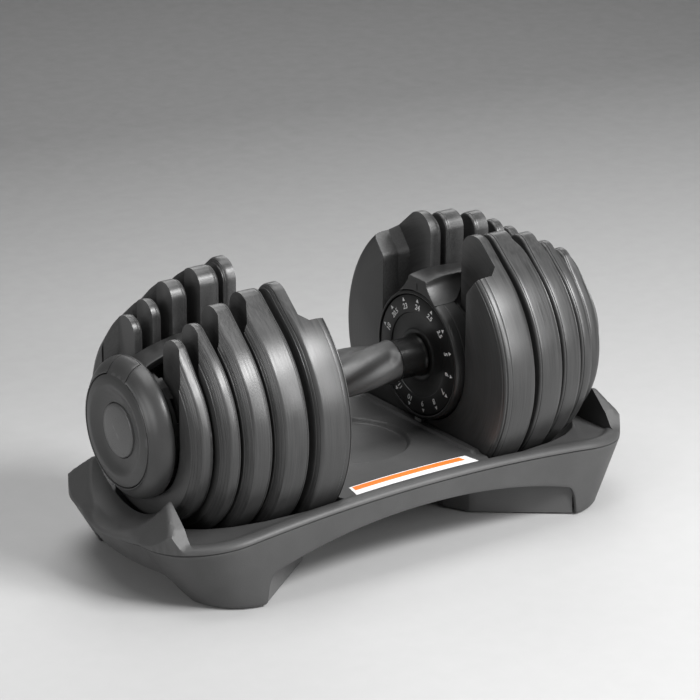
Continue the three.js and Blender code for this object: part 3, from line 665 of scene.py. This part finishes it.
def dial_numbers():
    """The numbers and their arrows, read from the grip: to the right is -Y there."""
    shape = Shape()
    for stop, words in enumerate(STOP_NAMES):
        turn = 2 * math.pi * stop / len(STOP_NAMES)
        points, faces = flat_text(words, 5.9 if len(words) < 3 else 5.2)
        arrow = [(-1.5, -1.3), (1.5, -1.3), (0.0, 1.5)]
        solid = [(u, v, w) for w in (-0.1, 0.1) for u, v in arrow]
        arrow_faces = [(0, 2, 1), (3, 4, 5), (0, 1, 4, 3), (1, 2, 5, 4), (2, 0, 3, 5)]
        for part, part_faces, radius in ((points, faces, NUMERAL_RADIUS), (solid, arrow_faces, ARROW_RADIUS)):
            placed = []
            for u, v, w in part:
                across = u * math.cos(turn) + (v + radius) * math.sin(turn)
                up = (v + radius) * math.cos(turn) - u * math.sin(turn)
                placed.append((DIAL_FACE - 0.05 - w, -across, AXIS_Z + up))
            shape.add(placed, part_faces)
    return to_object("numbers", shape)


place_both(number_dial, "number_dial", "selector_{side}", DIAL)
numbers = dial_numbers()
numbers.name = "dial_numbers_right"
for side, thing in zip(SIDES, (numbers, turned_copy(numbers, "dial_numbers_left"))):
    thing.data.materials.append(NUMERAL)
    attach(thing, f"selector_{side}")


# ------------------------------------------------------------------ housing and bridge
def inner_housing():
    front = DIAL_FACE - 0.5
    pocket = 46.5
    back = HOUSING_BACK
    wall = 74.0
    profile = [
        (front + 1.2, pocket), (front + 0.3, pocket + 0.25), (front, pocket + 0.9), (front + 0.15, 48.2),
        (front + 0.7, 49.0), (front + 1.7, 49.55), (front + 3.2, HOUSING_RADIUS), (front + 8, HOUSING_RADIUS),
        (front + 8.4, HOUSING_RADIUS - 0.3), (front + 8.8, HOUSING_RADIUS), (back - 1.5, HOUSING_RADIUS),
        (back - 0.4, HOUSING_RADIUS - 0.4), (back, HOUSING_RADIUS - 1.4), (back, pocket), (wall + 2.6, pocket),
        (wall + 2.6, 17.5), (back, 17.5), (back, 13.9), (wall, 13.9), (wall, pocket),
    ]
    cup = to_object("cup", lathe(profile, 160, closed=True))
    peg = box_shape((68.4, wall + 1), (-3.2, 3.2), (AXIS_Z - 21.5, AXIS_Z - 18.5))
    boolean(cup, to_object("peg", peg), "UNION")
    slot = box_shape((68.9, 72.7), (-3.6, 3.6), (AXIS_Z - 60, AXIS_Z - 44))
    boolean(cup, to_object("slot", slot))
    return smooth(cup, 30)


# height of the strap's top above the axis along x
STRAP_TOP = ((60.5, 60.5), (66, 61.6), (76, 62.8), (90, 62.6), (110, 61.0), (125, 59.6), (140, 57.9),
             (153, 56.2), (168, 52.9), (178, 49.6), (183.2, 47.0))


def strap_ring(x):
    """One cross-section of the bridge: flared down to the housing at the front, a plain strap behind."""
    top = float(np.interp(x, *zip(*STRAP_TOP)))
    half = 11.0
    blend = float(smooth_step(76.0, 100.0, x))
    low = HOUSING_RADIUS + 0.35
    foot = 22.0
    flared = [(half - 1.6, top), (half - 0.5, top - 0.4), (half, top - 1.6), (half + 0.15, top - 3.5)]
    start = np.array(flared[-1])
    end = np.array((foot, math.sqrt(low ** 2 - foot ** 2)))
    knee = (start + end) / 2 - (0.9, 0.7)
    for t in np.linspace(0, 1, 8)[1:]:
        flared.append(tuple((1 - t) ** 2 * start + 2 * t * (1 - t) * knee + t * t * end))
    for y in (16.0, 10.0, 5.0):
        flared.append((y, math.sqrt(low ** 2 - y ** 2)))
    depth = 6.5
    plain = [(half - 1.6, top), (half - 0.5, top - 0.4), (half, top - 1.6), (half, top - 3.0)]
    plain += [(half, top - 3.0 - (depth - 4.4) * t) for t in np.linspace(0, 1, 8)[1:]]
    plain += [(half - 1.2, top - depth), (half - 4, top - depth), (half - 8, top - depth)]
    right = np.array(flared) * (1 - blend) + np.array(plain) * blend
    left = right[::-1] * (-1, 1)
    return axis_ring(x, np.vstack([right, left]))


def bridge():
    stations = [60.9, 62.0, 64.0, 67.0, 70.0, 74.0, 78.0, 79.4, 82, 85, 88, 91, 94, 97, 100, 108, 116, 124, 132, 140,
                148, 156, 162, 168, 173, 178, 183.2]
    front = [(60.5, y, z - 0.4 if z > AXIS_Z + 58 else z) for _, y, z in strap_ring(60.9)]
    body = to_object("strap", Shape().loft([front] + [strap_ring(x) for x in stations]))
    bracket = box_shape((180.4, 183.2), (-11, 11), (AXIS_Z + 8, AXIS_Z + 46.5))
    boolean(body, to_object("bracket", bracket), "UNION")
    collar = lathe([(180.4, 19.6), (180.8, 20), (182.8, 20), (183.2, 19.6), (183.2, 13.9), (180.4, 13.9)], 64, True)
    boolean(body, to_object("collar", collar), "UNION")
    journal = lathe([(178, 0), (178, 13.9), (186, 13.9), (186, 0)], 64)
    boolean(body, to_object("journal", journal))
    mark = box_shape((60.0, 61.1), (-0.45, 0.45), (AXIS_Z + 50.8, AXIS_Z + 56.5))
    boolean(body, to_object("mark", mark))
    return smooth(body, 32)


place_both(inner_housing, "inner_housing", "handle", HOUSING)
place_both(bridge, "bridge", "handle", HOUSING)


# ------------------------------------------------------------------ grip
def grip_ring(x, sides):
    """A section of the grip: lobes that twist along its length and fade out at its ends."""
    swell = 1 - (x / GRIP_HALF) ** 2
    radius = 16.4 + 1.9 * swell
    fade = float(smooth_step(0.0, 0.28, 1 - abs(x) / GRIP_HALF))
    angles = np.arange(sides) * 2 * math.pi / sides
    phase = GRIP_LOBES * angles + x * GRIP_TWIST
    dip = np.power(0.5 + 0.5 * np.cos(phase), 1.7)
    radii = radius - 3.0 * fade * dip
    return axis_ring(x, np.stack([radii * np.cos(angles), radii * np.sin(angles)], 1))


def grip_sleeve():
    sides = 144
    end = GRIP_HALF
    inner = arc(8.1, 0, 360, sides)[:-1]
    stations = list(np.linspace(-end + 0.8, end - 0.8, 72))
    rings = [axis_ring(-end, inner), axis_ring(-end, arc(15.6, 0, 360, sides)[:-1])]
    rings += [grip_ring(x, sides) for x in stations]
    rings += [axis_ring(end, arc(15.6, 0, 360, sides)[:-1]), axis_ring(end, inner)]
    return smooth(to_object("fine_grip_sleeve", Shape().loft(rings, closed=True)), 50)


def grip_collar():
    start = GRIP_HALF + 0.3
    end = DIAL_FACE - 0.4
    profile = [
        (start, 8.1), (start, 15.5), (start + 0.35, 15.9), (start + 1.0, 15.9), (start + 1.35, 15.4),
        (start + 1.7, COLLAR_RADIUS), (end - 3.4, COLLAR_RADIUS), (end - 2.0, COLLAR_RADIUS + 0.25),
        (end - 0.9, COLLAR_RADIUS + 0.8), (end - 0.3, COLLAR_RADIUS + 0.8), (end, COLLAR_RADIUS + 0.4), (end, 8.1),
    ]
    return smooth(to_object("collar", lathe(profile, 96, closed=True)), 40)


finish_piece(grip_sleeve(), "handle", ["grip_sleeve"], GRIP)
place_both(grip_collar, "grip_collar", "handle", COLLAR)


# ------------------------------------------------------------------ cradle outline
def cradle_outline(half_length, half_width, corner, bow):
    """The cradle's plan: a rounded rectangle whose ends bow outward, anticlockwise."""
    end_x = half_length - bow
    corner_y = half_width - corner
    y = np.linspace(0, corner_y, 24)[:-1]
    end = np.stack([end_x + bow * (1 - (y / corner_y) ** 2), y], 1)
    turn = arc(corner, 0, 90, 32, (end_x - corner, corner_y))
    straight = np.stack([np.linspace(end_x - corner, 0, 90)[1:], np.full(89, half_width)], 1)
    quarter = np.vstack([end, turn, straight])
    upper = np.vstack([quarter, quarter[:-1][::-1] * (-1, 1)])
    lower = upper[1:-1][::-1] * (1, -1)
    return np.vstack([upper, lower])


def deck_drop(x):
    return x * x / DECK_BOW


# ------------------------------------------------------------------ cradle tray
# (inset from the outline, height) of the rolled rim at mid length
RIM_SECTION = (
    (0.0, 59.7), (0.25, 60.7), (0.9, 61.7), (2.0, 62.6), (3.6, 63.25), (5.4, 63.55), (7.2, 63.6), (8.8, 63.35),
    (10.2, 62.7), (11.2, 61.9), (12.2, 61.35), (13.6, 61.08), (16.0, 61.0), (90.0, 61.0),
)
TRAY_OUTLINE = cradle_outline(HALF_LENGTH, HALF_WIDTH, CORNER, END_BOW)
TRAY_NORMALS = outward_normals(TRAY_OUTLINE)
# the room for the plates of one end: (x, radius)
WELL = ((66.2, 101.5), (97.0, 101.5), (127.1, 97.5), (149.1, 92.0), (164.9, 85.5), (188.6, 70.8))
WELL_START = WELL[0][0]
CHEEK_WALL = WELL[-1][0]
CHEEK_TOP = 76.0
RECESS_RADIUS = 45.0


def inset_of(points):
    """Distance inward from the tray's outline."""
    starts = TRAY_OUTLINE
    ends = np.roll(TRAY_OUTLINE, -1, axis=0)
    best = np.full(len(points), 1e9)
    for a, b in zip(starts, ends):
        run = b - a
        t = np.clip(((points - a) @ run) / (run @ run), 0, 1)
        best = np.minimum(best, np.hypot(*(points - (a + t[:, None] * run)).T))
    return best


def well_radius(x, extra):
    return np.interp(np.abs(x), *zip(*WELL)) + extra


def well_height(x, y, extra):
    """The floor of the wells, and a large height where there is no well."""
    reach = np.abs(x)
    radius = well_radius(x, extra)
    inside = (reach > WELL_START - extra) & (reach < CHEEK_WALL) & (np.abs(y) < radius)
    return np.where(inside, AXIS_Z - np.sqrt(np.maximum(radius ** 2 - y ** 2, 0)), 500.0)


def cheek_height(x, y):
    """The saddle at each end that rises beside the knob."""
    reach = np.abs(x)
    across = np.interp(np.abs(y), (0, 51, 68, 82, 92), (CHEEK_TOP, CHEEK_TOP, 61, 40, 20))
    along = np.interp(reach, (CHEEK_WALL, CHEEK_WALL + 2.8, 208, 214), (CHEEK_TOP + 1, CHEEK_TOP + 1, 47, 36))
    lump = smooth_min(across, along, 2.4)
    return np.where(reach > CHEEK_WALL, lump, -100.0)


def bowl_height(x, y):
    radius = np.interp(np.abs(x), (CHEEK_WALL - 1, 204, 215), (62.5, 68.5, 70.0))
    depth = AXIS_Z - np.sqrt(np.maximum(radius ** 2 - y ** 2, 0))
    return np.where((np.abs(x) > CHEEK_WALL - 0.01) & (np.abs(y) < radius - 1), depth, 500.0)


def tray_top(points):
    x, y = points[:, 0], points[:, 1]
    deck = np.interp(inset_of(points), *zip(*RIM_SECTION)) - deck_drop(x)
    middle = np.hypot(x, y)
    deck = deck - 3.6 * (1 - smooth_step(RECESS_RADIUS - 3.4, RECESS_RADIUS, middle))
    ledge = smooth_step(59.3, 60.8, np.abs(x)) * smooth_step(72, 69, np.abs(y)) * (np.abs(x) < WELL_START - 0.01)
    deck = deck + ledge * (61.4 - (61.0 - deck_drop(x)))
    raised = smooth_max(deck, cheek_height(x, y), 3.5)
    raised = np.where(np.abs(x) > CHEEK_WALL, raised, deck)
    return smooth_min(smooth_min(raised, bowl_height(x, y), 1.2), well_height(x, y, 0.0), 0.9)


def tray_bottom(points):
    x, y = points[:, 0], points[:, 1]
    seat = np.where(inset_of(points) < 8, SKIRT_TOP + 0.3, SKIRT_TOP - 2.4) - deck_drop(x)
    return np.minimum(seat, well_height(x, y, 2.6))


def well_edges(extra, level):
    """Lines where the wells open through the deck."""
    x = np.linspace(WELL_START - extra + 0.2, CHEEK_WALL - 0.2, 90)
    y = np.sqrt(well_radius(x, extra) ** 2 - (AXIS_Z - (level - deck_drop(x))) ** 2)
    signs = ((1, 1), (1, -1), (-1, 1), (-1, -1))
    return [np.stack([sign_x * x, sign_y * (y + shift)], 1)
            for sign_x, sign_y in signs for shift in (-1.8, -1.0, -0.4, 0.0, 0.5, 1.2)]


def triangulated(outline, lines, free):
    """Triangles inside an outline, along lines and through free points."""
    points = [Vector(p) for p in outline]
    edges = []
    for line, is_closed in lines:
        start = len(points)
        points.extend(Vector(p) for p in line)
        edges.extend((start + i, start + i + 1) for i in range(len(line) - 1))
        if is_closed:
            edges.append((start + len(line) - 1, start))
    points.extend(Vector(p) for p in free)
    made = delaunay_2d_cdt(points, edges, [list(range(len(outline)))], 1, 1e-4)
    return np.array([tuple(p) for p in made[0]]), [tuple(f) for f in made[2]], made[3]


def terrain_lines(extra, level, insets):
    lines = [(TRAY_OUTLINE - TRAY_NORMALS * inset, True) for inset in insets]
    lines += [(line, False) for line in well_edges(extra, level)]
    reach = 90.0
    for wall in (WELL_START - extra, CHEEK_WALL):
        for place in (wall - 0.12, wall + 0.12):
            for sign in (1, -1):
                y = np.linspace(-reach, reach, 62)
                limit = 84.0 if wall < 100 else 87.0
                y = y[np.abs(y) < limit]
                lines.append((np.stack([np.full(len(y), sign * place), y], 1), False))
    return lines


def grid_points(step, low, high):
    xs = np.arange(low[0], high[0], step)
    ys = np.arange(low[1], high[1], step)
    return np.array([(x, y) for x in xs for y in ys])


def cradle_tray():
    insets = (0.3, 0.9, 2.0, 3.6, 5.4, 7.2, 8.8, 10.2, 11.2, 12.2, 13.6)
    lines = terrain_lines(0.0, 61.0, insets)
    for radius in (40.2, 41.5, 42.6, 43.7, RECESS_RADIUS, 46.0):
        lines.append((arc(radius, 0, 360, 140)[:-1], True))
    for place in (59.3, 60.0, 60.8, 65.9):
        for sign in (1, -1):
            y = np.linspace(-74, 74, 40)
            lines.append((np.stack([np.full(len(y), sign * place), y], 1), False))
    coarse = grid_points(3.0, (-186, -84), (186, 84))
    fine = [grid_points(1.3, (sign * 199.0 - 14.5, -84), (sign * 199.0 + 14.5, 84)) for sign in (1, -1)]
    free = np.vstack([coarse] + fine)
    free = free[inset_of(free) > 14.4]
    top_points, top_faces, _ = triangulated(TRAY_OUTLINE, lines, free)
    low_lines = terrain_lines(2.6, SKIRT_TOP - 2.4, (7.9, 8.1))
    low_free = grid_points(5.0, (-200, -85), (200, 85))
    low_free = low_free[inset_of(low_free) > 9]
    low_points, low_faces, _ = triangulated(TRAY_OUTLINE, low_lines, low_free)
    shape = Shape()
    shape.add(np.column_stack([top_points, tray_top(top_points)]), top_faces)
    shape.add(np.column_stack([low_points, tray_bottom(low_points)]), low_faces)
    edge = TRAY_OUTLINE
    top_z = tray_top(edge)
    low_z = tray_bottom(edge)
    rings = [np.column_stack([edge, top_z]), np.column_stack([edge, low_z])]
    shape.loft([[tuple(p) for p in ring] for ring in rings], caps=False)
    return smooth(to_object("fine_cradle_tray", shape), 38)


finish_piece(cradle_tray(), "cradle", ["cradle_tray"], CRADLE)


# ------------------------------------------------------------------ cradle skirt
LEG_BOTTOM = 1.5
WALL = 3.0
POD_TOP = 44.0


def skirt_bottom(x, y):
    """Height of the skirt's lower edge: arches on the long sides and at the ends."""
    arch = smooth_min(43.5 - x ** 2 / 790, (139.5 - np.abs(x)) * 2.0, 9.0)
    end = smooth_min(20.6 - (y / 60) ** 2 * 2, (63.0 - np.abs(y)) * 1.7, 7.0)
    long_side = np.abs(y) > HALF_WIDTH - 8
    low = np.where(long_side & (np.abs(x) < 150), arch, np.where(np.abs(y) < 75, end, -10))
    return smooth_max(low, np.full(len(x), LEG_BOTTOM), 1.5)


def pod_wall(turn):
    """The wall round the foot of one end's legs, cut down where a well passes over it."""
    corners = np.array([(137, -93.5), (76, -48), (66, -28), (66, 28), (76, 48), (137, 93.5)])
    along = np.linspace(0, len(corners) - 1, 81)
    front = np.stack([np.interp(along, range(len(corners)), column) for column in corners.T], 1)
    back = front * (1, 0.985) + (WALL, 0)
    front, back = front * turn, back * turn
    front_top = np.minimum(POD_TOP, tray_bottom(front) - 0.4)
    back_top = np.minimum(POD_TOP, tray_bottom(back) - 0.4)
    return [
        [(*a, LEG_BOTTOM), (*b, LEG_BOTTOM), (*b, b_top), (*a, a_top)]
        for a, b, a_top, b_top in zip(front, back, front_top, back_top)
    ]


def cradle_skirt():
    low = cradle_outline(188.0, HALF_WIDTH - 1, 44.0, END_BOW)
    high = cradle_outline(228.5, HALF_WIDTH - 1, 62.0, END_BOW)
    full = 60.5
    bottom = skirt_bottom(low[:, 0], low[:, 1])
    top = np.full(len(low), SKIRT_TOP)
    for _ in range(4):
        t = (top - LEG_BOTTOM) / full
        top = SKIRT_TOP - deck_drop(low[:, 0] * (1 - t) + high[:, 0] * t)
    normals = outward_normals(high)

    def ring(height, inward):
        t = ((height - LEG_BOTTOM) / full)[:, None]
        plan = low * (1 - t) + high * t - normals * inward
        return [tuple(p) for p in np.column_stack([plan, height])]

    rows = 14
    rings = [ring(top - 1.0, 0.0)]
    for row in range(1, rows):
        rings.append(ring(top - 1.0 + (bottom + 2.0 - top) * row / (rows - 1), 0.0))
    rings += [ring(bottom + 0.4, 0.25), ring(bottom, 1.0), ring(bottom, WALL - 1), ring(bottom + 0.5, WALL - 0.2)]
    for row in range(1, 5):
        rings.append(ring(bottom + 0.5 + (top - bottom - 1.0) * row / 4, WALL))
    rings += [ring(top, WALL - 0.5), ring(top, 1.6), ring(top - 0.5, 0.8)]
    shape = Shape().loft(rings, closed=True)
    for turn in (1, -1):
        shape.loft(pod_wall(turn))
        for side in (-1, 1):
            in_leg = (turn * low[:, 0] > 140) & (side * low[:, 1] > 55)
            plan = list((low - outward_normals(low) * (WALL - 0.3))[in_leg]) + [(turn * 140.0, side * 55.0)]
            shape.loft([[(x, y, LEG_BOTTOM) for x, y in plan], [(x, y, LEG_BOTTOM + 3) for x, y in plan]])
    return smooth(to_object("fine_cradle_skirt", shape), 38)


finish_piece(cradle_skirt(), "cradle", ["cradle_skirt"], CRADLE)


# ------------------------------------------------------------------ label and pads
def arched_patch(corners, base, thickness):
    """A thin four-cornered patch that follows the deck's bow."""
    columns = 40
    (x0, y0), (x1, y1), (x2, y2), (x3, y3) = corners
    shape = Shape()
    rings = []
    for i in range(columns + 1):
        t = i / columns
        low = (x0 + (x1 - x0) * t, y0 + (y1 - y0) * t)
        high = (x3 + (x2 - x3) * t, y3 + (y2 - y3) * t)
        ring = [(low, 0), (high, 0), (high, 1), (low, 1)]
        rings.append([(p[0], p[1], base - deck_drop(p[0]) + level * thickness) for p, level in ring])
    return shape.loft(rings)


label = to_object("fine_deck_label", arched_patch([(-55, -87.3), (55, -87.3), (52, -72), (-52, -72)], 61.15, 0.35))
finish_piece(label, "cradle", ["deck_label"], LABEL_WHITE)
band_corners = [(-51, -79.0), (47, -79.0), (46, -73), (-50, -73)]
band = to_object("label_band", arched_patch(band_corners, 61.52, 0.06))
band.data.materials.append(LABEL_ORANGE)
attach(band, "cradle")

for place in ("front_left", "front_right", "back_left", "back_right"):
    low, high = box_mm(f"foot_pad_{place}")
    centre = ((low.x + high.x) / 2, (low.y + high.y) / 2)
    rings = [[(x, y, z) for x, y in arc(radius, 0, 360, 48, centre)[:-1]]
             for radius, z in ((8.4, low.z), (9.0, low.z + 0.3), (9.0, high.z))]
    pad = smooth(to_object(f"fine_foot_pad_{place}", Shape().loft(rings)), 40)
    finish_piece(pad, "cradle", [f"foot_pad_{place}"], PAD)

# ------------------------------------------------------------------ pieces kept from the frame
for name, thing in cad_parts.items():
    if thing.hide_render:
        continue
    is_steel = name == "handle_rod" or name.startswith(("selector_sleeve", "lock_s", "end_screw"))
    thing.data.materials.clear()
    thing.data.materials.append(STEEL if is_steel else HOUSING)


# ------------------------------------------------------------------ floor, light and camera
def studio_floor():
    size = 6.0
    mesh = bpy.data.meshes.new("floor")
    corners = [(-size, -size, 0), (size, -size, 0), (size, size, 0), (-size, size, 0)]
    mesh.from_pydata(corners, [], [(0, 1, 2, 3)])
    floor = bpy.data.objects.new("floor", mesh)
    bpy.context.scene.collection.objects.link(floor)
    material, tree, shader = new_material("floor_paper", Roughness=0.7)
    place = node(tree, "ShaderNodeTexCoord").outputs["Object"]
    fibre = noise(tree, place, 60.0)
    parts = node(tree, "ShaderNodeSeparateXYZ", {0: place}).outputs
    # painted shade: the floor is painted darker away from the camera, standing in for the light's falloff over the
    # backdrop
    away = maths(tree, "ADD", maths(tree, "MULTIPLY", parts["X"], 0.20), maths(tree, "MULTIPLY", parts["Y"], 0.98))
    painted_falloff_mask = ramp(tree, maths(tree, "MULTIPLY_ADD", away, 0.5), [(0.0, 0), (0.5, 1)])
    floor_with_painted_falloff = mix_colour(tree, painted_falloff_mask, grey(0.42), grey(0.15))
    tree.links.new(mix_colour(tree, maths(tree, "MULTIPLY", fibre, 0.06), floor_with_painted_falloff, grey(0.9)),
                   shader.inputs["Base Color"])
    mesh.materials.append(material)


def area_light(name, place, target, size, power):
    data = bpy.data.lights.new(name, "AREA")
    data.shape = "RECTANGLE"
    data.size, data.size_y = size
    data.energy = power
    light = bpy.data.objects.new(name, data)
    bpy.context.scene.collection.objects.link(light)
    light.location = place
    light.rotation_euler = (Vector(target) - Vector(place)).to_track_quat("-Z", "Y").to_euler()


studio_floor()
world = bpy.data.worlds.new("studio")
world.use_nodes = True
world.node_tree.nodes["Background"].inputs["Color"].default_value = grey(0.62)
world.node_tree.nodes["Background"].inputs["Strength"].default_value = 0.22
bpy.context.scene.world = world

HEART = (0.0, 0.0, 0.1)
area_light("key", (0.55, -1.15, 1.35), HEART, (0.8, 0.5), 40.0)
area_light("top", (0.0, 0.25, 1.6), HEART, (1.6, 0.8), 16.0)
area_light("front_strip", (0.85, -1.6, 0.7), HEART, (0.35, 0.8), 15.0)
area_light("left_fill", (-1.7, -0.3, 0.6), HEART, (1.0, 0.8), 10.0)
area_light("back_fill", (0.9, 1.4, 1.2), HEART, (1.2, 0.8), 9.0)

camera_data = bpy.data.cameras.new("camera")
camera_data.sensor_width = 36.0
camera_data.lens = 170.36
camera_data.shift_x = 0.0352
camera_data.shift_y = -0.1182
camera = bpy.data.objects.new("camera", camera_data)
bpy.context.scene.collection.objects.link(camera)
CAMERA_AZIMUTH = math.radians(-34.974)
CAMERA_ELEVATION = math.radians(19.322)
backward = Vector((
    math.sin(CAMERA_AZIMUTH) * math.cos(CAMERA_ELEVATION),
    -math.cos(CAMERA_AZIMUTH) * math.cos(CAMERA_ELEVATION),
    math.sin(CAMERA_ELEVATION),
))
camera.location = (-1.3169, -1.8509, 0.9928)
camera.rotation_mode = "QUATERNION"
camera.rotation_quaternion = (-backward).to_track_quat("-Z", "Y")
bpy.context.scene.camera = camera
bpy.context.scene.view_settings.view_transform = "Standard"
